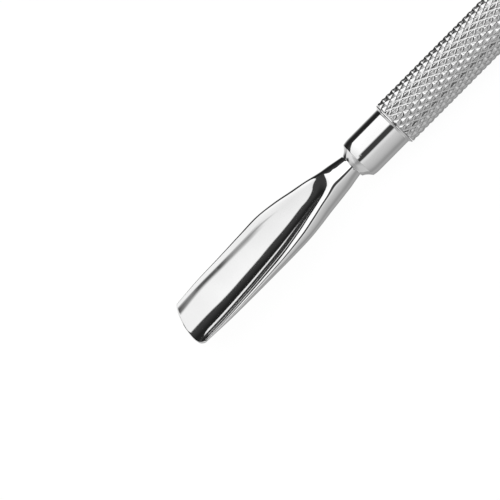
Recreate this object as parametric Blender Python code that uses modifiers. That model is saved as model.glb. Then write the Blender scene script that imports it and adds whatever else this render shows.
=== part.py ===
"""Double-ended cuticle pusher: a knurled handle tube, a turned collar at each end, a trough-shaped
pusher blade held in one collar and a narrow nail-cleaner blade held in the other.

Units are metres and +Z is up. The tool lies along X with the pusher's tip at -X, both troughs open
towards +Z, and the handle's lowest flat rests on z = 0. The origin is under the tool's middle.
"""

from math import atan, atan2, cos, pi, radians, sin, sqrt, tan

import bmesh
import bpy
from mathutils import Matrix, Vector

MM = 0.001

# Driving dimensions, in metres
OVERALL_LENGTH = 134.0 * MM
HANDLE_RADIUS = 3.5 * MM
HANDLE_BORE_RADIUS = 2.75 * MM
HANDLE_END_RADIUS = 3.36 * MM
HANDLE_CHAMFER = 0.16 * MM
HANDLE_SIDES = 24

COLLAR_RADIUS = 3.0 * MM
COLLAR_LENGTH = 6.64 * MM
COLLAR_LIP_RADIUS = 3.42 * MM
COLLAR_LIP_WIDTH = 0.3 * MM
COLLAR_FLARE_LENGTH = 0.22 * MM
COLLAR_CROWN_LENGTH = 1.15 * MM
COLLAR_CROWN_DROP = 0.12 * MM
COLLAR_NOSE_LENGTH = 1.13 * MM
COLLAR_NOSE_RADIUS = 1.86 * MM
SPIGOT_LENGTH = 8.0 * MM
COLLAR_SIDES = 48

SHANK_RADIUS = 1.73 * MM
SHANK_LENGTH = 9.0 * MM
SHANK_CHAMFER = 0.2 * MM
RADIAL_FIT = 0.05 * MM
AXIAL_FIT = 0.08 * MM
NECK_STEP = 0.1 * MM

PUSHER_LENGTH = 31.8 * MM
PUSHER_TIP_SETBACK = 1.7 * MM
CLEANER_LENGTH = 27.0 * MM
CLEANER_TIP_SETBACK = 4.2 * MM
TIP_START_SHARE = 0.72
TIP_ROUND = 0.25

# One facet of the handle faces straight down, so the axis stands an apothem above the ground.
AXIS_Z = HANDLE_RADIUS * cos(pi / HANDLE_SIDES)
COLLAR_REACH = COLLAR_NOSE_LENGTH + COLLAR_LENGTH + COLLAR_LIP_WIDTH
PUSHER_ROOT_X = -OVERALL_LENGTH / 2 + PUSHER_LENGTH
CLEANER_ROOT_X = OVERALL_LENGTH / 2 - CLEANER_LENGTH
HANDLE_LEFT_X = PUSHER_ROOT_X + COLLAR_REACH + AXIAL_FIT
HANDLE_RIGHT_X = CLEANER_ROOT_X - COLLAR_REACH - AXIAL_FIT

# Blade stations, from the neck's root towards the tip. Distances are in millimetres and the angle in
# degrees: distance from the root; half-width and height of the rim's centre; rim radius; width of the
# lip that rolls outwards; half-angle of the outer arc; height of the outer bottom; height of the
# hollow's middle.
SHANK_SECTION = (1.70, 0.00, 0.30, 0.00, 80, -1.73, 1.73)
PUSHER_STATIONS = (
    (0.0, 1.30, 1.09, 0.51, 0.00, 90, -1.72, 1.75),
    (1.2, 1.48, 1.24, 0.56, 0.06, 95, -1.85, 1.96),
    (2.2, 1.60, 1.41, 0.61, 0.17, 101, -1.96, 2.13),
    (3.7, 1.74, 1.65, 0.61, 0.33, 108, -2.03, 2.26),
    (6.0, 2.14, 1.74, 0.61, 0.12, 109, -1.94, 1.58),
    (8.6, 2.82, 1.69, 0.64, 0.32, 106, -1.76, 1.14),
    (11.0, 3.52, 1.65, 0.61, 0.58, 98, -1.58, 0.80),
    (14.2, 4.10, 1.61, 0.50, 0.72, 88, -1.40, 0.44),
    (17.5, 4.23, 1.40, 0.39, 0.74, 85, -1.29, 0.12),
    (22.0, 4.29, 1.15, 0.27, 0.66, 82, -1.23, -0.21),
    (27.0, 4.33, 0.99, 0.17, 0.60, 75, -1.18, -0.49),
    (31.8, 4.16, 0.79, 0.09, 0.60, 59, -1.13, -0.84),
)
CLEANER_STATIONS = (
    (0.0, 1.36, 0.84, 0.50, 0.00, 90, -1.71, 1.73),
    (2.4, 1.50, 0.90, 0.45, 0.00, 92, -1.72, 1.68),
    (5.0, 1.62, 0.95, 0.44, 0.10, 90, -1.62, 1.15),
    (8.0, 1.76, 0.92, 0.38, 0.20, 86, -1.52, 0.45),
    (12.0, 1.84, 0.84, 0.28, 0.30, 82, -1.40, -0.15),
    (19.0, 1.80, 0.70, 0.20, 0.30, 76, -1.24, -0.45),
    (27.0, 1.68, 0.56, 0.14, 0.30, 66, -1.04, -0.50),
)
# How sharply the lip rolls over, per millimetre, and how the points spread across the hollow.
ROLL_CURVATURE = 0.65
SPREAD = radians(80)
OUTER_STEPS = 14
RIM_STEPS = 4
BLADE_RINGS = 26


def clear_scene():
    for obj in list(bpy.data.objects):
        bpy.data.objects.remove(obj, do_unlink=True)


def make_collection(name):
    collection = bpy.data.collections.new(name)
    bpy.context.scene.collection.children.link(collection)
    return collection


def steel(name, colour, roughness):
    material = bpy.data.materials.new(name)
    material.use_nodes = True
    shader = material.node_tree.nodes["Principled BSDF"]
    shader.inputs["Base Color"].default_value = (*colour, 1.0)
    shader.inputs["Metallic"].default_value = 1.0
    shader.inputs["Roughness"].default_value = roughness
    return material


def shade_round(obj, angle=30.0):
    obj.data.shade_smooth()
    obj.data.set_sharp_from_angle(angle=radians(angle))


def turned(name, profile, closed, sides, place, material, collection):
    """A solid of revolution. The profile is (radius, height) pairs down the outer side, turned about Z."""
    mesh = bpy.data.meshes.new(name)
    points = [(radius, 0.0, height) for radius, height in profile]
    edges = [(i, i + 1) for i in range(len(points) - 1)]
    if closed:
        edges.append((len(points) - 1, 0))
    mesh.from_pydata(points, edges, [])
    obj = bpy.data.objects.new(name, mesh)
    collection.objects.link(obj)
    screw = obj.modifiers.new("Turn", "SCREW")
    screw.axis = "Z"
    screw.angle = 2 * pi
    screw.screw_offset = 0.0
    screw.steps = sides
    screw.render_steps = sides
    screw.use_merge_vertices = True
    screw.merge_threshold = 1e-6
    screw.use_smooth_shade = True
    obj.matrix_world = place
    mesh.materials.append(material)
    return obj


def lying(x, towards):
    """A placement whose local +Z points along -X or +X at the tool's axis, one facet facing down."""
    turn = Matrix.Rotation(towards * pi / 2, 4, "Y")
    facet = Matrix.Rotation(pi / HANDLE_SIDES, 4, "Z")
    return Matrix.Translation(Vector((x, 0.0, AXIS_Z))) @ turn @ facet


def make_handle(collection):
    length = HANDLE_RIGHT_X - HANDLE_LEFT_X
    profile = [
        (HANDLE_END_RADIUS, length),
        (HANDLE_RADIUS, length - HANDLE_CHAMFER),
        (HANDLE_RADIUS, HANDLE_CHAMFER),
        (HANDLE_END_RADIUS, 0.0),
        (HANDLE_BORE_RADIUS, 0.0),
        (HANDLE_BORE_RADIUS, length),
    ]
    material = steel("handle_tube", (0.62, 0.62, 0.62), 0.25)
    place = lying(HANDLE_LEFT_X, 1)
    return turned("handle_tube", profile, True, HANDLE_SIDES, place, material, collection)


def collar_profile():
    """From the bottom of the shank's bore, up to the nose, and down the outside to the spigot's end."""
    bore = SHANK_RADIUS + RADIAL_FIT
    spigot = HANDLE_BORE_RADIUS - RADIAL_FIT
    shoulder = -COLLAR_NOSE_LENGTH
    lip = shoulder - COLLAR_LENGTH
    end = lip - COLLAR_LIP_WIDTH - SPIGOT_LENGTH
    profile = [(0.0, -SHANK_LENGTH - AXIAL_FIT), (bore, -SHANK_LENGTH - AXIAL_FIT), (bore, 0.0)]
    edge = COLLAR_RADIUS - COLLAR_CROWN_DROP
    profile += [(COLLAR_NOSE_RADIUS, 0.0), (edge, shoulder)]
    crown_steps = 4
    for step in range(1, crown_steps + 1):
        share = step / crown_steps
        radius = COLLAR_RADIUS - COLLAR_CROWN_DROP * (1 - share) ** 2
        profile.append((radius, shoulder - COLLAR_CROWN_LENGTH * share))
    profile += [
        (COLLAR_RADIUS, lip + COLLAR_FLARE_LENGTH),
        (COLLAR_LIP_RADIUS, lip - COLLAR_LIP_WIDTH * 0.5),
        (COLLAR_LIP_RADIUS, lip - COLLAR_LIP_WIDTH),
        (spigot, lip - COLLAR_LIP_WIDTH),
        (spigot, end + SHANK_CHAMFER),
        (spigot - SHANK_CHAMFER, end),
        (0.0, end),
    ]
    return profile


def make_collar(name, root_x, towards, collection):
    material = steel(name, (0.66, 0.66, 0.66), 0.12)
    place = lying(root_x, towards)
    return turned(name, collar_profile(), False, COLLAR_SIDES, place, material, collection)


def smooth_between(stations, distance):
    """Station values at a distance from the root, on a smooth curve through the stations."""
    last = len(stations) - 2
    k = max(i for i in range(last + 1) if stations[i][0] <= distance or i == 0)
    a, b = stations[k], stations[k + 1]
    before, after = stations[max(k - 1, 0)], stations[min(k + 2, last + 1)]
    span = b[0] - a[0]
    t = (distance - a[0]) / span
    values = []
    for i in range(1, len(a)):
        slope_a = (b[i] - before[i]) / (b[0] - before[0]) * span
        slope_b = (after[i] - a[i]) / (after[0] - a[0]) * span
        values.append(
            (2 * t**3 - 3 * t**2 + 1) * a[i]
            + (t**3 - 2 * t**2 + t) * slope_a
            + (3 * t**2 - 2 * t**3) * b[i]
            + (t**3 - t**2) * slope_b
        )
    return values


def arc_points(half_width, end_z, middle_z, half_angle, steps):
    """An arc from -half_width to +half_width, at end_z at its ends and middle_z between them."""
    points = []
    for step in range(steps + 1):
        angle = half_angle * (2 * step / steps - 1)
        rise = (1 - cos(angle)) / (1 - cos(half_angle))
        points.append((half_width * sin(angle) / sin(half_angle), middle_z + (end_z - middle_z) * rise))
    return points


def rim_points(start, start_angle, end, end_angle, steps):
    """The rounded rim between the outer arc's end and the inner arc's end, without those two points."""
    chord = sqrt((end[0] - start[0]) ** 2 + (end[1] - start[1]) ** 2)
    turning = pi + end_angle - start_angle if end_angle < start_angle else pi
    turning = min(max(turning, radians(20)), pi)
    reach = chord * (2 / 3) * tan(turning / 4) / sin(turning / 2)
    a = (start[0] + reach * cos(start_angle), start[1] + reach * sin(start_angle))
    b = (end[0] + reach * cos(end_angle), end[1] + reach * sin(end_angle))
    points = []
    for step in range(1, steps):
        t = step / steps
        w = ((1 - t) ** 3, 3 * t * (1 - t) ** 2, 3 * t**2 * (1 - t), t**3)
        points.append(tuple(w[0] * start[i] + w[1] * a[i] + w[2] * b[i] + w[3] * end[i] for i in (0, 1)))
    return points


def arc_slope(half_width, end_z, middle_z, half_angle):
    """Direction in which the arc leaves at its +half_width end."""
    across = half_width * cos(half_angle) / sin(half_angle)
    up = (end_z - middle_z) * sin(half_angle) / (1 - cos(half_angle))
    return atan2(up, across)


def rim_ends(rim_y, rim_z, rim_radius, lean):
    """The outer and the inner end of a rim of that radius that leans inwards from upright."""
    across, up = rim_radius * sin(lean), rim_radius * cos(lean)
    return (rim_y + across, rim_z - up), (rim_y - across, rim_z + up)


def hollow_slope(end_y, end_z, roll, top):
    """Steepest slope of the hollow's wall: an arc from the middle, then a lip that rolls outwards."""
    rise = end_z - top + ROLL_CURVATURE * roll**2 / 2
    half = 0.0
    for _ in range(8):
        half = rise / (end_y - roll + 2 * roll / (1 - min(half**2, 0.9)))
    return 2 * atan(half)


def hollow_height(y, start, slope, top):
    """Height of the hollow at a distance y from its middle line; the lip begins at start."""
    bend = sin(slope) / start
    near = min(y, start)
    height = top + bend * near**2 / (1 + sqrt(1 - (bend * near) ** 2))
    past = max(y - start, 0.0)
    return height + past * tan(slope) - ROLL_CURVATURE * past**2 / 2


def blade_section(values):
    """Points round the blade's section, in millimetres: outer arc, rim, hollow, rim."""
    rim_y, rim_z, rim_radius, roll, arc_degrees, bottom, top = values
    arc = radians(arc_degrees)
    lean = 0.0
    for _ in range(8):
        low, high = rim_ends(rim_y, rim_z, rim_radius, lean)
        slope = hollow_slope(high[0], high[1], roll, top)
        lip_slope = atan(tan(slope) - ROLL_CURVATURE * roll)
        outer_slope = arc_slope(low[0], low[1], bottom, arc)
        lean = (outer_slope + lip_slope) / 2
    outer = arc_points(low[0], low[1], bottom, arc, OUTER_STEPS)
    hollow = []
    for step in range(OUTER_STEPS + 1):
        y = high[0] * sin(SPREAD * (2 * step / OUTER_STEPS - 1)) / sin(SPREAD)
        hollow.append((y, hollow_height(abs(y), high[0] - roll, slope, top)))
    right = rim_points(low, outer_slope, high, lip_slope, RIM_STEPS)
    left = [(-y, z) for y, z in reversed(right)]
    return outer + right + hollow[::-1] + left


def tip_reach(y, half_width, length, setback, power):
    """How far the blade reaches at a distance y from its middle line, with softly rounded corners."""
    share = min(abs(y) / half_width, 1.0)
    corner = 1 - sqrt(max(1 - share**8, 0.0))
    return length - setback * (share**power) * (1 - TIP_ROUND) - setback * TIP_ROUND * corner


def loft(name, rings, material, collection):
    """A closed skin over rings of equal length, with a fan on the first and a strip across the last."""
    mesh = bmesh.new()
    count = len(rings[0])
    loops = [[mesh.verts.new(point) for point in ring] for ring in rings]
    for first, second in zip(loops, loops[1:]):
        for i in range(count):
            j = (i + 1) % count
            mesh.faces.new((first[i], first[j], second[j], second[i]))
    mesh.faces.new(list(reversed(loops[0])))
    end = loops[-1]
    half = count // 2
    start = -(RIM_STEPS // 2)
    for i in range(half):
        a, b = end[(start + i) % count], end[(start + i + 1) % count]
        c, d = end[(start - i - 2) % count], end[(start - i - 1) % count]
        corners = [a, b, c, d] if d is not a else [a, b, c]
        if b is c:
            corners.remove(c)
        if len(set(corners)) >= 3:
            mesh.faces.new(corners)
    bmesh.ops.triangulate(mesh, faces=mesh.faces[:])
    bmesh.ops.recalc_face_normals(mesh, faces=mesh.faces[:])
    data = bpy.data.meshes.new(name)
    mesh.to_mesh(data)
    mesh.free()
    data.materials.append(material)
    obj = bpy.data.objects.new(name, data)
    collection.objects.link(obj)
    return obj


def make_blade(name, stations, length, setback, power, root_x, towards, collection):
    """A round shank that turns into a trough. Towards is -1 for a tip at -X and 1 for a tip at +X."""
    rings = []
    shank = blade_section(SHANK_SECTION)
    small = (SHANK_RADIUS - SHANK_CHAMFER) / SHANK_RADIUS
    for distance, scale in ((-SHANK_LENGTH, small), (-SHANK_LENGTH + SHANK_CHAMFER, 1.0), (0.0, 1.0)):
        rings.append([(distance, y * scale * MM, z * scale * MM) for y, z in shank])
    tip_start = length * TIP_START_SHARE
    for ring in range(BLADE_RINGS + 1):
        distance = NECK_STEP + (length - NECK_STEP) * ring / BLADE_RINGS
        section = blade_section(smooth_between(stations, distance / MM))
        widest = max(y for y, _ in section) * MM
        points = []
        for y, z in section:
            reach = tip_reach(y * MM, widest, length, setback, power)
            x = distance
            if distance > tip_start:
                x = tip_start + (distance - tip_start) * (reach - tip_start) / (length - tip_start)
            points.append((x, y * MM, z * MM))
        rings.append(points)
    placed = [[(root_x + towards * x, y, AXIS_Z + z) for x, y, z in ring] for ring in rings]
    obj = loft(name, placed, steel(name, (0.66, 0.66, 0.66), 0.1), collection)
    shade_round(obj)
    return obj


def main():
    clear_scene()
    parts = make_collection("cuticle_pusher")
    make_handle(parts)
    make_collar("pusher_collar", PUSHER_ROOT_X, -1, parts)
    make_collar("cleaner_collar", CLEANER_ROOT_X, 1, parts)
    make_blade("pusher_blade", PUSHER_STATIONS, PUSHER_LENGTH, PUSHER_TIP_SETBACK, 2.2,
               PUSHER_ROOT_X, -1, parts)
    make_blade("cleaner_blade", CLEANER_STATIONS, CLEANER_LENGTH, CLEANER_TIP_SETBACK, 1.3,
               CLEANER_ROOT_X, 1, parts)


main()
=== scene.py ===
"""The looks of a double-ended cuticle pusher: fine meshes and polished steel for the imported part.

Every length is in metres unless its name says otherwise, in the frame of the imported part: the tool
lies along X with the pusher's tip at -X, and both troughs open towards +Z.
"""

from math import atan, atan2, cos, hypot, pi, radians, sin, sqrt, tan

import bmesh
import bpy
import numpy as np
from mathutils import Matrix, Vector


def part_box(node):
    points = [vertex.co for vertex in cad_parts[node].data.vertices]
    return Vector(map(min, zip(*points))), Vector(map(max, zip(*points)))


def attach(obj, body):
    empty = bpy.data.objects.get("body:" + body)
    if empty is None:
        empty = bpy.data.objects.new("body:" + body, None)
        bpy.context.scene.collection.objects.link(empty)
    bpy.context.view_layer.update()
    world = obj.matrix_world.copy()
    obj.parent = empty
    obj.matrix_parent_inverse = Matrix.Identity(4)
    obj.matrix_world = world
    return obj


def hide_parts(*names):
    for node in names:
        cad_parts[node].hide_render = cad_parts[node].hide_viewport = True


MM = 0.001
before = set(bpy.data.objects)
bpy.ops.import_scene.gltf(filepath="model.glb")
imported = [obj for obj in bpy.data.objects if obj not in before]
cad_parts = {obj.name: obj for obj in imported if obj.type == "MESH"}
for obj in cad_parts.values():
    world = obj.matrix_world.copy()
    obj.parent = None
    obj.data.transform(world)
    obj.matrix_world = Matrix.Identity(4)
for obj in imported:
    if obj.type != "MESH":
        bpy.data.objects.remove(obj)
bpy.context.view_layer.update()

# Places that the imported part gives
tube_low, tube_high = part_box("handle_tube")
AXIS_Z = (tube_low.z + tube_high.z) / 2
PUSHER_ROOT_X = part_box("pusher_collar")[0].x
CLEANER_ROOT_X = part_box("cleaner_collar")[1].x
PUSHER_LENGTH = PUSHER_ROOT_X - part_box("pusher_blade")[0].x
CLEANER_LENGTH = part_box("cleaner_blade")[1].x - CLEANER_ROOT_X

# Handle. A diamond of the knurl is twice KNURL_CELLS mesh steps wide. Near KNURL_FLAT of its height its
# flanks give way to a nearly flat crest.
HANDLE_RADIUS = 3.5 * MM
BORE_RADIUS = 2.75 * MM
KNURL_STARTS = 21
KNURL_PITCH = 1.814 * MM
KNURL_DEPTH = 0.30 * MM
KNURL_CELLS = 6
KNURL_STEEPNESS = 1.12
KNURL_FLAT = 0.9
KNURL_FLAT_SLOPE = 0.2
HANDLE_END_RADIUS = 3.36 * MM
HANDLE_CHAMFER = 0.16 * MM

# Collars
COLLAR_RADIUS = 3.0 * MM
COLLAR_LENGTH = 6.64 * MM
COLLAR_LIP_RADIUS = 3.42 * MM
COLLAR_LIP_WIDTH = 0.3 * MM
COLLAR_FLARE_LENGTH = 0.22 * MM
COLLAR_CROWN_LENGTH = 1.15 * MM
COLLAR_CROWN_DROP = 0.12 * MM
COLLAR_NOSE_LENGTH = 1.13 * MM
COLLAR_NOSE_RADIUS = 1.86 * MM
COLLAR_NOSE_HOLLOW = 0.15 * MM
COLLAR_NOSE_STEPS = 8
COLLAR_CROWN_STEPS = 12
COLLAR_FLARE_STEPS = 8
COLLAR_FLARE_POWER = 2.2
COLLAR_FLARE_SUPPORT = 0.3 * MM
COLLAR_EDGE_ROUND = 0.04 * MM
COLLAR_EDGE_SHARE = 0.45
SPIGOT_LENGTH = 8.0 * MM
COLLAR_SIDES = 160

# Blades, of the part's own sizes. A station has the distance from the root in millimetres; half-width
# and height of the rim's centre; rim radius; width of the lip that rolls outwards; half-angle of the
# outer arc in degrees; height of the outer bottom; height of the hollow's middle.
SHANK_RADIUS = 1.73 * MM
SHANK_LENGTH = 9.0 * MM
SHANK_CHAMFER = 0.2 * MM
RADIAL_FIT = 0.05 * MM
AXIAL_FIT = 0.08 * MM
NECK_STEP = 0.1 * MM
PUSHER_TIP_SETBACK = 1.7 * MM
PUSHER_TIP_POWER = 2.2
CLEANER_TIP_SETBACK = 4.2 * MM
CLEANER_TIP_POWER = 1.3
TIP_START_SHARE = 0.72
TIP_ROUND = 0.25
TIP_EDGE_STEPS = 5
TIP_EDGE_REACH = 0.12 * MM
TIP_EDGE_CLOSING = 0.96
SHANK_SECTION = (1.70, 0.00, 0.30, 0.00, 80, -1.73, 1.73)
PUSHER_STATIONS = (
    (0.0, 1.30, 1.09, 0.51, 0.00, 90, -1.72, 1.75),
    (1.2, 1.48, 1.24, 0.56, 0.06, 95, -1.85, 1.96),
    (2.2, 1.60, 1.41, 0.61, 0.17, 101, -1.96, 2.13),
    (3.7, 1.74, 1.65, 0.61, 0.33, 108, -2.03, 2.26),
    (6.0, 2.14, 1.74, 0.61, 0.12, 109, -1.94, 1.58),
    (8.6, 2.82, 1.69, 0.64, 0.32, 106, -1.76, 1.14),
    (11.0, 3.52, 1.65, 0.61, 0.58, 98, -1.58, 0.80),
    (14.2, 4.10, 1.61, 0.50, 0.72, 88, -1.40, 0.44),
    (17.5, 4.23, 1.40, 0.39, 0.74, 85, -1.29, 0.12),
    (22.0, 4.29, 1.15, 0.27, 0.66, 82, -1.23, -0.21),
    (27.0, 4.33, 0.99, 0.17, 0.60, 75, -1.18, -0.49),
    (31.8, 4.16, 0.79, 0.09, 0.60, 59, -1.13, -0.84),
)
CLEANER_STATIONS = (
    (0.0, 1.36, 0.84, 0.50, 0.00, 90, -1.71, 1.73),
    (2.4, 1.50, 0.90, 0.45, 0.00, 92, -1.72, 1.68),
    (5.0, 1.62, 0.95, 0.44, 0.10, 90, -1.62, 1.15),
    (8.0, 1.76, 0.92, 0.38, 0.20, 86, -1.52, 0.45),
    (12.0, 1.84, 0.84, 0.28, 0.30, 82, -1.40, -0.15),
    (19.0, 1.80, 0.70, 0.20, 0.30, 76, -1.24, -0.45),
    (27.0, 1.68, 0.56, 0.14, 0.30, 66, -1.04, -0.50),
)
# How sharply the lip rolls over, per millimetre, and how the points spread across the hollow
ROLL_CURVATURE = 0.65
SPREAD = radians(80)
OUTER_STEPS = 64
RIM_STEPS = 10
BLADE_RINGS = 180
SOLVER_ROUNDS = 8

# Steel: the scale of the clouds in it, between which levels they tint it, and the tint
CLOUD_SCALE = (260.0, 260.0, 260.0)
CLOUD_FROM, CLOUD_TO = 0.35, 0.7
CLOUD_TINT = 0.97

# Camera: turned round the tool from straight above, tilted towards the handle, then rolled
VIEW_ROLL = radians(40.8)
VIEW_TILT = radians(5.0)
IMAGE_ANGLE = radians(45.24)
CAMERA_DISTANCE = 350 * MM
FRAME_WIDTH = 67.7 * MM
AIM_FROM_ROOT = -17.85 * MM
AIM_SIDEWAYS = -1.83 * MM
SENSOR = 36.0

# Studio. Each band gives levels of light against degrees round the tool, 0 being towards the camera.
SPLIT_KEY = ((-180, 0.0), (-116, 0.0), (-108, 1.0), (-18.5, 1.0), (-11, 0.0))
WHOLE_KEY = ((-180, 0.0), (-116, 0.0), (-108, 1.0), (-9, 1.0), (-3, 0.0))
ROOM = (
    (-180, 0.90), (-161, 0.62), (-149, 0.27), (-139, 0.06), (-128, 0.02), (-110, 0.015), (-90, 0.045),
    (-60, 0.05), (12, 0.045), (17.5, 0.80), (24, 0.76), (37, 0.62), (60, 0.55), (78, 0.48), (89, 0.41),
    (99, 0.32), (110, 0.31), (124, 0.38), (134, 0.38), (145, 0.34), (165, 0.33), (180, 0.50),
)
END_WALL = ((-180, 0.85), (-100, 0.76), (-50, 0.60), (0, 0.34), (50, 0.38), (100, 0.56), (180, 0.60))
END_GAP = ((-115, 0.0), (-100, 1.0), (40, 1.0), (70, 0.0))
END_GAP_LEVEL = 0.06
BACK_WALL = (
    (-180, 0.90), (-118, 0.70), (-100, 0.95), (-30, 0.90), (0, 0.16), (40, 0.05), (100, 0.07),
    (150, 0.12), (180, 0.25),
)
# These run along the tool, from -1 towards the pusher's tip to 1 towards the handle.
KEY_SPLIT_SHARE = (
    (-0.39, 0.0), (-0.305, 1.0), (-0.293, 1.0), (-0.275, 0.66), (-0.245, 0.66), (-0.21, 1.0),
)
KEY_LEVEL = 1.09
KEY_RISE = 0.60
KEY_END_SLANTS = (1.175, -1.0)
KEY_END_LEAN = 0.12
KEY_END_BLUR = 0.03
END_WALL_FROM, END_WALL_TO = -0.56, -0.64
END_GAP_FROM, END_GAP_TO = -0.86, -0.76
BACK_WALL_FROM, BACK_WALL_TO = 0.42, 0.52
DIFFUSE_LEVEL = 0.95

# Floor
FLOOR_SIZE = 1.5
FLOOR_GREY = 0.08
FLOOR_GLOW = 0.945


# ---------------------------------------------------------------- nodes

class Nodes:
    """Short calls for building a node tree."""

    def __init__(self, tree):
        self.tree = tree
        tree.nodes.clear()

    def add(self, kind, inputs=None, **settings):
        node = self.tree.nodes.new(kind)
        for key, value in settings.items():
            setattr(node, key, value)
        for key, value in (inputs or {}).items():
            if isinstance(value, bpy.types.NodeSocket):
                self.tree.links.new(value, node.inputs[key])
            else:
                node.inputs[key].default_value = value
        return node

    def math(self, operation, a, b=0.0, c=0.0, clamp=False):
        node = self.add("ShaderNodeMath", {0: a, 1: b, 2: c}, operation=operation, use_clamp=clamp)
        return node.outputs[0]

    def dot(self, vector, constant):
        node = self.add("ShaderNodeVectorMath", {0: vector, 1: constant}, operation="DOT_PRODUCT")
        return node.outputs["Value"]

    def ramp(self, value, stops, interpolation="LINEAR"):
        node = self.add("ShaderNodeValToRGB", {0: value})
        node.color_ramp.interpolation = interpolation
        elements = node.color_ramp.elements
        while len(elements) > 1:
            elements.remove(elements[-1])
        for i, (place, grey) in enumerate(stops):
            element = elements[0] if i == 0 else elements.new(place)
            element.position = place
            element.color = (grey, grey, grey, 1.0)
        return node.outputs["Color"]

    def step(self, value, low, high):
        """0 up to low and 1 from high on, smooth between. Low may be the larger of the two."""
        node = self.add("ShaderNodeMapRange", {0: value, 1: low, 2: high, 3: 0.0, 4: 1.0},
                        interpolation_type="SMOOTHSTEP")
        return node.outputs[0]

    def mix(self, factor, a, b):
        node = self.add("ShaderNodeMix", {0: factor, 2: a, 3: b}, data_type="FLOAT")
        return node.outputs[0]


def stretched_noise(nodes, scale, detail):
    """Noise over the piece's own coordinates, scaled unequally along X, Y and Z."""
    coordinates = nodes.add("ShaderNodeTexCoord").outputs["Object"]
    mapping = nodes.add("ShaderNodeMapping", {"Vector": coordinates, "Scale": scale})
    noise = nodes.add("ShaderNodeTexNoise", {"Vector": mapping.outputs[0], "Scale": 1.0, "Detail": detail})
    return noise.outputs["Fac"]


def polished_steel(name, colour, roughness, grain, grain_depth, wear):
    """Polished steel: colour, base roughness, the scale of its polishing lines, and how worn it is."""
    material = bpy.data.materials.new(name)
    material.use_nodes = True
    nodes = Nodes(material.node_tree)
    lines = stretched_noise(nodes, grain, 3.0)
    clouds = stretched_noise(nodes, CLOUD_SCALE, 4.0)
    rough = nodes.math("MULTIPLY_ADD", clouds, wear, roughness - wear / 2)
    rough = nodes.math("MULTIPLY_ADD", lines, wear, rough, clamp=True)
    tint = nodes.mix(nodes.step(clouds, CLOUD_FROM, CLOUD_TO), colour * CLOUD_TINT, colour)
    tone = nodes.add("ShaderNodeCombineColor", {0: tint, 1: tint, 2: tint})
    bump = nodes.add("ShaderNodeBump", {"Height": lines, "Strength": 1.0, "Distance": grain_depth})
    shader = nodes.add("ShaderNodeBsdfPrincipled", {
        "Base Color": tone.outputs[0],
        "Metallic": 1.0,
        "Roughness": rough,
        "Normal": bump.outputs[0],
    })
    output = nodes.add("ShaderNodeOutputMaterial", {"Surface": shader.outputs[0]})
    output.is_active_output = True
    return material


# ---------------------------------------------------------------- meshes

def new_object(name, vertices, faces, material, sharp):
    """A smooth-shaded piece whose edges stay crisp where they turn by more than sharp degrees."""
    mesh = bpy.data.meshes.new(name)
    mesh.from_pydata(vertices, [], faces)
    mesh.update()
    shape = bmesh.new()
    shape.from_mesh(mesh)
    bmesh.ops.remove_doubles(shape, verts=shape.verts[:], dist=1e-7)
    bmesh.ops.recalc_face_normals(shape, faces=shape.faces[:])
    shape.to_mesh(mesh)
    shape.free()
    mesh.shade_smooth()
    mesh.set_sharp_from_angle(angle=radians(sharp))
    mesh.materials.append(material)
    obj = bpy.data.objects.new(name, mesh)
    bpy.context.scene.collection.objects.link(obj)
    return obj


def knurl_height(first, second):
    """Height from 0 in the grooves to 1 on the crests, for the two helical phases."""
    heights = []
    for phase in (first, second):
        share = 2 * abs(phase - np.floor(phase) - 0.5)
        heights.append(1 - share)
    low = np.minimum(heights[0], heights[1])
    return np.minimum(low * KNURL_STEEPNESS, KNURL_FLAT + (low - KNURL_FLAT) * KNURL_FLAT_SLOPE)


def knurled_radius(i, j, edge):
    """Radii round the handle at row j of the knurl, at that distance from the nearer end."""
    height = knurl_height((i + j) / (2 * KNURL_CELLS), (i - j) / (2 * KNURL_CELLS))
    radius = HANDLE_RADIUS - KNURL_DEPTH * (1 - height)
    chamfer = HANDLE_END_RADIUS + (HANDLE_RADIUS - HANDLE_END_RADIUS) * min(edge / HANDLE_CHAMFER, 1.0)
    return np.minimum(radius, chamfer)


def knurled_faces(rows, columns):
    """Faces between the rows. A square that a groove crosses is split along that groove."""
    faces = []
    for row in range(rows - 1):
        j = row - 1
        for k in range(columns):
            a, b = row * columns + k, row * columns + (k + 1) % columns
            c, d = b + columns, a + columns
            if (k + j + 1) % (2 * KNURL_CELLS) == 0:
                faces += [(a, b, d), (b, c, d)]
            elif (k - j) % (2 * KNURL_CELLS) == 0:
                faces += [(a, b, c), (a, c, d)]
            else:
                faces.append((a, b, c, d))
    return faces


def make_handle(material):
    """The tube, with a diamond knurl cut by two opposed sets of helical grooves."""
    columns = KNURL_STARTS * 2 * KNURL_CELLS
    step = KNURL_PITCH / (2 * KNURL_CELLS)
    length = tube_high.x - tube_low.x
    rows = int(length / step)
    margin = (length - rows * step) / 2
    along = [0.0] + [margin + i * step for i in range(rows + 1)] + [length]
    i = np.arange(columns)
    angle = 2 * pi * i / columns
    vertices = []
    for x in along:
        radius = knurled_radius(i, (x - margin) / step, min(x, length - x))
        vertices += [(tube_low.x + x, r * sin(a), AXIS_Z + r * cos(a)) for r, a in zip(radius, angle)]
    inner = len(vertices)
    for x in (length, 0.0):
        vertices += [(tube_low.x + x, BORE_RADIUS * sin(a), AXIS_Z + BORE_RADIUS * cos(a)) for a in angle]
    faces = knurled_faces(len(along), columns)
    last = inner - columns
    for k in range(columns):
        n = (k + 1) % columns
        faces.append((last + k, last + n, inner + n, inner + k))
        faces.append((inner + k, inner + n, inner + columns + n, inner + columns + k))
        faces.append((inner + columns + k, inner + columns + n, n, k))
    return new_object("handle_knurled", vertices, faces, material, sharp=80.0)


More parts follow.
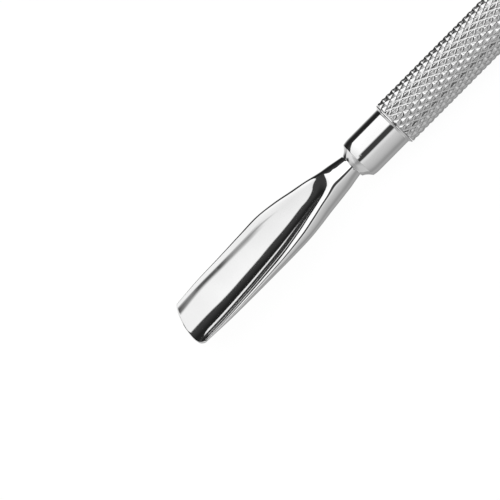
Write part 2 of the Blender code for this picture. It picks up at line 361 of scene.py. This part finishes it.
def rounded(profile, radius, steps=4):
    """The profile with each inner corner replaced by a small curve of at most about that radius."""
    points = [profile[0]]
    for before, corner, after in zip(profile, profile[1:], profile[2:]):
        c = Vector(corner)
        back, ahead = Vector(before) - c, Vector(after) - c
        size = min(radius, back.length * COLLAR_EDGE_SHARE, ahead.length * COLLAR_EDGE_SHARE)
        a, b = c + back.normalized() * size, c + ahead.normalized() * size
        for i in range(steps + 1):
            t = i / steps
            points.append(tuple(a * (1 - t) ** 2 + c * 2 * t * (1 - t) + b * t**2))
    points.append(profile[-1])
    return points


def nose_and_crown(shoulder):
    """The collar's hollow-ground nose, from its rim to the shoulder, and the crown behind it."""
    edge = COLLAR_RADIUS - COLLAR_CROWN_DROP
    points = [(COLLAR_NOSE_RADIUS, 0.0)]
    for step in range(1, COLLAR_NOSE_STEPS + 1):
        share = step / COLLAR_NOSE_STEPS
        hollow = COLLAR_NOSE_HOLLOW * sin(pi * share)
        radius = COLLAR_NOSE_RADIUS + (edge - COLLAR_NOSE_RADIUS) * share - hollow
        points.append((radius, shoulder * share))
    for step in range(1, COLLAR_CROWN_STEPS + 1):
        share = step / COLLAR_CROWN_STEPS
        radius = COLLAR_RADIUS - COLLAR_CROWN_DROP * (1 - share) ** 2
        points.append((radius, shoulder + COLLAR_CROWN_LENGTH * share))
    return points


def flare_to_lip(lip):
    """The end of the collar's straight barrel, and its flare out to the lip."""
    flare = lip - COLLAR_FLARE_LENGTH
    length = COLLAR_FLARE_LENGTH + COLLAR_LIP_WIDTH * 0.5
    points = [(COLLAR_RADIUS, flare - COLLAR_FLARE_SUPPORT)]
    for step in range(COLLAR_FLARE_STEPS + 1):
        share = step / COLLAR_FLARE_STEPS
        radius = COLLAR_RADIUS + (COLLAR_LIP_RADIUS - COLLAR_RADIUS) * share**COLLAR_FLARE_POWER
        points.append((radius, flare + length * share))
    return points


def collar_profile():
    """(radius, distance from the root) from the bore's bottom, over the nose, to the spigot's end."""
    bore = SHANK_RADIUS + RADIAL_FIT
    bottom = SHANK_LENGTH + AXIAL_FIT
    spigot = BORE_RADIUS - RADIAL_FIT
    lip = COLLAR_NOSE_LENGTH + COLLAR_LENGTH
    end = lip + COLLAR_LIP_WIDTH + SPIGOT_LENGTH
    outside = [(bore, 0.0)] + nose_and_crown(COLLAR_NOSE_LENGTH) + flare_to_lip(lip) + [
        (COLLAR_LIP_RADIUS, lip + COLLAR_LIP_WIDTH),
        (spigot, lip + COLLAR_LIP_WIDTH),
        (spigot, end - SHANK_CHAMFER),
        (spigot - SHANK_CHAMFER, end),
        (0.0, end),
    ]
    return [(0.0, bottom), (bore, bottom)] + rounded(outside, COLLAR_EDGE_ROUND)


def make_collar(name, root_x, towards, material):
    """A turned collar. Towards is -1 where its nose points to -X and 1 where it points to +X."""
    profile = collar_profile()
    vertices, faces = [], []
    for radius, distance in profile:
        x = root_x - towards * distance
        for k in range(COLLAR_SIDES):
            a = 2 * pi * k / COLLAR_SIDES
            vertices.append((x, radius * sin(a), AXIS_Z + radius * cos(a)))
    for row in range(len(profile) - 1):
        for k in range(COLLAR_SIDES):
            n = (k + 1) % COLLAR_SIDES
            a, b = row * COLLAR_SIDES + k, row * COLLAR_SIDES + n
            faces.append((a, b, b + COLLAR_SIDES, a + COLLAR_SIDES))
    return new_object(name, vertices, faces, material, sharp=30.0)


def smooth_between(stations, distance):
    """Station values at a distance from the root, on a smooth curve through the stations."""
    last = len(stations) - 2
    k = max(i for i in range(last + 1) if stations[i][0] <= distance or i == 0)
    a, b = stations[k], stations[k + 1]
    before, after = stations[max(k - 1, 0)], stations[min(k + 2, last + 1)]
    span = b[0] - a[0]
    t = (distance - a[0]) / span
    values = []
    for i in range(1, len(a)):
        slope_a = (b[i] - before[i]) / (b[0] - before[0]) * span
        slope_b = (after[i] - a[i]) / (after[0] - a[0]) * span
        values.append(
            (2 * t**3 - 3 * t**2 + 1) * a[i]
            + (t**3 - 2 * t**2 + t) * slope_a
            + (3 * t**2 - 2 * t**3) * b[i]
            + (t**3 - t**2) * slope_b
        )
    return values


def arc_points(half_width, end_z, middle_z, half_angle, steps):
    """An arc from -half_width to +half_width, at end_z at its ends and middle_z between them."""
    points = []
    for step in range(steps + 1):
        angle = half_angle * (2 * step / steps - 1)
        rise = (1 - cos(angle)) / (1 - cos(half_angle))
        points.append((half_width * sin(angle) / sin(half_angle), middle_z + (end_z - middle_z) * rise))
    return points


def rim_points(start, start_angle, end, end_angle, steps):
    """The rounded rim between the outer arc's end and the inner arc's end, without those two points."""
    chord = sqrt((end[0] - start[0]) ** 2 + (end[1] - start[1]) ** 2)
    turning = pi + end_angle - start_angle if end_angle < start_angle else pi
    turning = min(max(turning, radians(20)), pi)
    reach = chord * (2 / 3) * tan(turning / 4) / sin(turning / 2)
    a = (start[0] + reach * cos(start_angle), start[1] + reach * sin(start_angle))
    b = (end[0] + reach * cos(end_angle), end[1] + reach * sin(end_angle))
    points = []
    for step in range(1, steps):
        t = step / steps
        w = ((1 - t) ** 3, 3 * t * (1 - t) ** 2, 3 * t**2 * (1 - t), t**3)
        points.append(tuple(w[0] * start[i] + w[1] * a[i] + w[2] * b[i] + w[3] * end[i] for i in (0, 1)))
    return points


def arc_slope(half_width, end_z, middle_z, half_angle):
    """Direction in which the arc leaves at its +half_width end."""
    across = half_width * cos(half_angle) / sin(half_angle)
    up = (end_z - middle_z) * sin(half_angle) / (1 - cos(half_angle))
    return atan2(up, across)


def rim_ends(rim_y, rim_z, rim_radius, lean):
    """The outer and the inner end of a rim of that radius that leans inwards from upright."""
    across, up = rim_radius * sin(lean), rim_radius * cos(lean)
    return (rim_y + across, rim_z - up), (rim_y - across, rim_z + up)


def hollow_slope(end_y, end_z, roll, top):
    """Steepest slope of the hollow's wall: an arc from the middle, then a lip that rolls outwards."""
    rise = end_z - top + ROLL_CURVATURE * roll**2 / 2
    half = 0.0
    for _ in range(SOLVER_ROUNDS):
        half = rise / (end_y - roll + 2 * roll / (1 - min(half**2, 0.9)))
    return 2 * atan(half)


def hollow_height(y, start, slope, top):
    """Height of the hollow at a distance y from its middle line; the lip begins at start."""
    bend = sin(slope) / start
    near = min(y, start)
    height = top + bend * near**2 / (1 + sqrt(1 - (bend * near) ** 2))
    past = max(y - start, 0.0)
    return height + past * tan(slope) - ROLL_CURVATURE * past**2 / 2


def blade_section(values):
    """Points round the blade's section, in millimetres: outer arc, rim, hollow, rim."""
    rim_y, rim_z, rim_radius, roll, arc_degrees, bottom, top = values
    arc = radians(arc_degrees)
    lean = 0.0
    for _ in range(SOLVER_ROUNDS):
        low, high = rim_ends(rim_y, rim_z, rim_radius, lean)
        slope = hollow_slope(high[0], high[1], roll, top)
        lip_slope = atan(tan(slope) - ROLL_CURVATURE * roll)
        outer_slope = arc_slope(low[0], low[1], bottom, arc)
        lean = (outer_slope + lip_slope) / 2
    outer = arc_points(low[0], low[1], bottom, arc, OUTER_STEPS)
    hollow = []
    for step in range(OUTER_STEPS + 1):
        y = high[0] * sin(SPREAD * (2 * step / OUTER_STEPS - 1)) / sin(SPREAD)
        hollow.append((y, hollow_height(abs(y), high[0] - roll, slope, top)))
    right = rim_points(low, outer_slope, high, lip_slope, RIM_STEPS)
    left = [(-y, z) for y, z in reversed(right)]
    return outer + right + hollow[::-1] + left


def tip_reach(y, half_width, length, setback, power):
    """How far the blade reaches at a distance y from its middle line, with softly rounded corners."""
    share = min(abs(y) / half_width, 1.0)
    corner = 1 - sqrt(max(1 - share**8, 0.0))
    return length - setback * (share**power) * (1 - TIP_ROUND) - setback * TIP_ROUND * corner


def loft(name, rings, material):
    """A closed skin over rings of equal length: one face on the first and a strip across the last."""
    count = len(rings[0])
    vertices = [point for ring in rings for point in ring]
    faces = [tuple(reversed(range(count)))]
    for row in range(len(rings) - 1):
        for i in range(count):
            j = (i + 1) % count
            a, b = row * count, (row + 1) * count
            faces.append((a + i, a + j, b + j, b + i))
    end = (len(rings) - 1) * count
    half = count // 2
    start = -(RIM_STEPS // 2)
    for i in range(half):
        a, b = end + (start + i) % count, end + (start + i + 1) % count
        c, d = end + (start - i - 2) % count, end + (start - i - 1) % count
        corners = []
        for corner in (a, b, c, d):
            if corner not in corners:
                corners.append(corner)
        if len(corners) >= 3:
            faces.append(tuple(corners))
    return new_object(name, vertices, faces, material, sharp=40.0)


def tip_rings(last):
    """Rings that round the blade's end over: each draws the two faces together and reaches further."""
    count = len(last)
    start = -(RIM_STEPS // 2)
    rings = []
    for step in range(1, TIP_EDGE_STEPS + 1):
        turn = (pi / 2) * step / TIP_EDGE_STEPS * TIP_EDGE_CLOSING
        ring = []
        for i in range(count):
            x, y, z = last[i]
            across = last[(2 * start - 1 - i) % count]
            half = hypot(y - across[1], z - across[2]) / 2
            reach = min(half, TIP_EDGE_REACH) * sin(turn)
            draw = (1 - cos(turn)) / 2
            ring.append((x + reach, y + (across[1] - y) * draw, z + (across[2] - z) * draw))
        rings.append(ring)
    return rings


def make_blade(name, stations, length, setback, power, root_x, towards, material):
    """A round shank that turns into a trough. Towards is -1 for a tip at -X and 1 for a tip at +X."""
    rings = []
    shank = blade_section(SHANK_SECTION)
    small = (SHANK_RADIUS - SHANK_CHAMFER) / SHANK_RADIUS
    for distance, scale in ((-SHANK_LENGTH, small), (-SHANK_LENGTH + SHANK_CHAMFER, 1.0), (0.0, 1.0)):
        rings.append([(distance, y * scale * MM, z * scale * MM) for y, z in shank])
    tip_start = length * TIP_START_SHARE
    for ring in range(BLADE_RINGS + 1):
        distance = NECK_STEP + (length - NECK_STEP) * ring / BLADE_RINGS
        section = blade_section(smooth_between(stations, min(distance / MM, stations[-1][0])))
        widest = max(y for y, _ in section) * MM
        points = []
        for y, z in section:
            reach = tip_reach(y * MM, widest, length, setback, power)
            x = distance
            if distance > tip_start:
                x = tip_start + (distance - tip_start) * (reach - tip_start) / (length - tip_start)
            points.append((x, y * MM, z * MM))
        rings.append(points)
    rings += tip_rings(rings[-1])
    placed = [[(root_x + towards * x, y, AXIS_Z + z) for x, y, z in ring] for ring in rings]
    return loft(name, placed, material)


# ---------------------------------------------------------------- stage

def view_axes():
    """The direction to the camera, and the image directions along the tool and across it."""
    to_camera = Vector((sin(VIEW_TILT), -cos(VIEW_TILT) * sin(VIEW_ROLL), cos(VIEW_TILT) * cos(VIEW_ROLL)))
    axis = Vector((1, 0, 0))
    along = (axis - to_camera * axis.dot(to_camera)).normalized()
    return to_camera, along, along.cross(to_camera)


def make_camera():
    to_camera, along, across = view_axes()
    right = along * cos(IMAGE_ANGLE) + across * sin(IMAGE_ANGLE)
    up = along * sin(IMAGE_ANGLE) - across * cos(IMAGE_ANGLE)
    data = bpy.data.cameras.new("camera")
    data.sensor_width = SENSOR
    data.lens = SENSOR * CAMERA_DISTANCE / FRAME_WIDTH
    data.clip_start = 0.01
    data.clip_end = 10.0
    camera = bpy.data.objects.new("camera", data)
    bpy.context.scene.collection.objects.link(camera)
    aim = Vector((PUSHER_ROOT_X + AIM_FROM_ROOT, 0.0, AXIS_Z)) + across * AIM_SIDEWAYS
    place = Matrix((right, up, to_camera)).transposed().to_4x4()
    place.translation = aim + to_camera * CAMERA_DISTANCE
    camera.matrix_world = place
    bpy.context.scene.camera = camera


def band(nodes, share, stops):
    """Light against degrees round the tool, where share is 0 at -180 degrees and 1 at 180 degrees."""
    return nodes.ramp(share, [(0.5 + degrees / 360, level) for degrees, level in stops])


def key_light(nodes, direction, share, lengthwise):
    """A long softbox beside the camera, wider towards the pusher's tip and cut off at a slant."""
    to_camera, along, across = view_axes()
    half = nodes.math("MULTIPLY_ADD", lengthwise, 0.5, 0.5)
    split = nodes.ramp(half, [(0.5 + place / 2, level) for place, level in KEY_SPLIT_SHARE])
    key = nodes.mix(split, band(nodes, share, WHOLE_KEY), band(nodes, share, SPLIT_KEY))
    key = nodes.math("MULTIPLY", key, nodes.math("MULTIPLY_ADD", lengthwise, KEY_RISE, KEY_LEVEL))
    for slant in KEY_END_SLANTS:
        key_end = nodes.dot(direction, to_camera + along * slant - across * KEY_END_LEAN)
        key = nodes.math("MULTIPLY", key, nodes.step(key_end, -KEY_END_BLUR, KEY_END_BLUR))
    return key


def end_wall_light(nodes, share, lengthwise):
    """The wall beyond the pusher's tip, with a dark opening in it."""
    opening = nodes.step(lengthwise, END_GAP_FROM, END_GAP_TO)
    opening = nodes.math("MULTIPLY", band(nodes, share, END_GAP), opening)
    return nodes.mix(opening, band(nodes, share, END_WALL), END_GAP_LEVEL)


def make_studio():
    """What the steel mirrors: a key softbox in a dim room, and a wall beyond each end of the tool."""
    world = bpy.data.worlds.new("studio")
    bpy.context.scene.world = world
    world.use_nodes = True
    nodes = Nodes(world.node_tree)
    to_camera, along, across = view_axes()
    direction = nodes.add("ShaderNodeTexCoord").outputs["Generated"]
    lengthwise = nodes.dot(direction, along)
    turn = nodes.math("ARCTAN2", nodes.dot(direction, across), nodes.dot(direction, to_camera))
    share = nodes.math("MULTIPLY_ADD", turn, 1 / (2 * pi), 0.5)
    glow = nodes.math("ADD", key_light(nodes, direction, share, lengthwise), band(nodes, share, ROOM))
    end_share = nodes.step(lengthwise, END_WALL_FROM, END_WALL_TO)
    glow = nodes.mix(end_share, glow, end_wall_light(nodes, share, lengthwise))
    back_share = nodes.step(lengthwise, BACK_WALL_FROM, BACK_WALL_TO)
    glow = nodes.mix(back_share, glow, band(nodes, share, BACK_WALL))
    path = nodes.add("ShaderNodeLightPath")
    glow = nodes.mix(path.outputs["Is Diffuse Ray"], glow, DIFFUSE_LEVEL)
    glow = nodes.mix(path.outputs["Is Camera Ray"], glow, 1.0)
    background = nodes.add("ShaderNodeBackground", {"Color": (1, 1, 1, 1), "Strength": glow})
    nodes.add("ShaderNodeOutputWorld", {"Surface": background.outputs[0]})


def make_floor():
    """A floor that glows nearly white by itself, with a little grey that takes the tool's shadow."""
    size = FLOOR_SIZE
    corners = [(-size, -size, 0), (size, -size, 0), (size, size, 0), (-size, size, 0)]
    mesh = bpy.data.meshes.new("floor")
    mesh.from_pydata(corners, [], [(0, 1, 2, 3)])
    material = bpy.data.materials.new("floor")
    material.use_nodes = True
    nodes = Nodes(material.node_tree)
    matte = nodes.add("ShaderNodeBsdfDiffuse", {"Color": (FLOOR_GREY, FLOOR_GREY, FLOOR_GREY, 1)})
    light = nodes.add("ShaderNodeEmission", {"Color": (1, 1, 1, 1), "Strength": FLOOR_GLOW})
    both = nodes.add("ShaderNodeAddShader", {0: matte.outputs[0], 1: light.outputs[0]})
    nodes.add("ShaderNodeOutputMaterial", {"Surface": both.outputs[0]})
    mesh.materials.append(material)
    floor = bpy.data.objects.new("floor", mesh)
    bpy.context.scene.collection.objects.link(floor)
    floor.visible_glossy = False


# ---------------------------------------------------------------- build

def place(piece, node, slot):
    """Stands the piece in for a node of the part."""
    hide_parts(node)
    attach(piece, "root")


def build_tool():
    """The five pieces. Steel takes a tone, a roughness, the lines' scale and depth, and the wear."""
    knurled = polished_steel("knurled_steel", 0.86, 0.16, (900, 900, 900), 1.5e-6, 0.06)
    turned = polished_steel("turned_steel", 0.93, 0.05, (9000, 250, 250), 0.25e-6, 0.03)
    polished = polished_steel("blade_steel", 0.93, 0.05, (220, 5000, 5000), 0.25e-6, 0.03)
    place(make_handle(knurled), "handle_tube", "knurled_steel")
    collar = make_collar("pusher_collar_turned", PUSHER_ROOT_X, -1, turned)
    place(collar, "pusher_collar", "polished_steel")
    collar = make_collar("cleaner_collar_turned", CLEANER_ROOT_X, 1, turned)
    place(collar, "cleaner_collar", "polished_steel")
    blade = make_blade("pusher_trough", PUSHER_STATIONS, PUSHER_LENGTH, PUSHER_TIP_SETBACK,
                       PUSHER_TIP_POWER, PUSHER_ROOT_X, -1, polished)
    place(blade, "pusher_blade", "blade_steel")
    blade = make_blade("cleaner_trough", CLEANER_STATIONS, CLEANER_LENGTH, CLEANER_TIP_SETBACK,
                       CLEANER_TIP_POWER, CLEANER_ROOT_X, 1, polished)
    place(blade, "cleaner_blade", "blade_steel")


build_tool()
make_floor()
make_studio()
make_camera()
bpy.context.scene.view_settings.view_transform = "Standard"
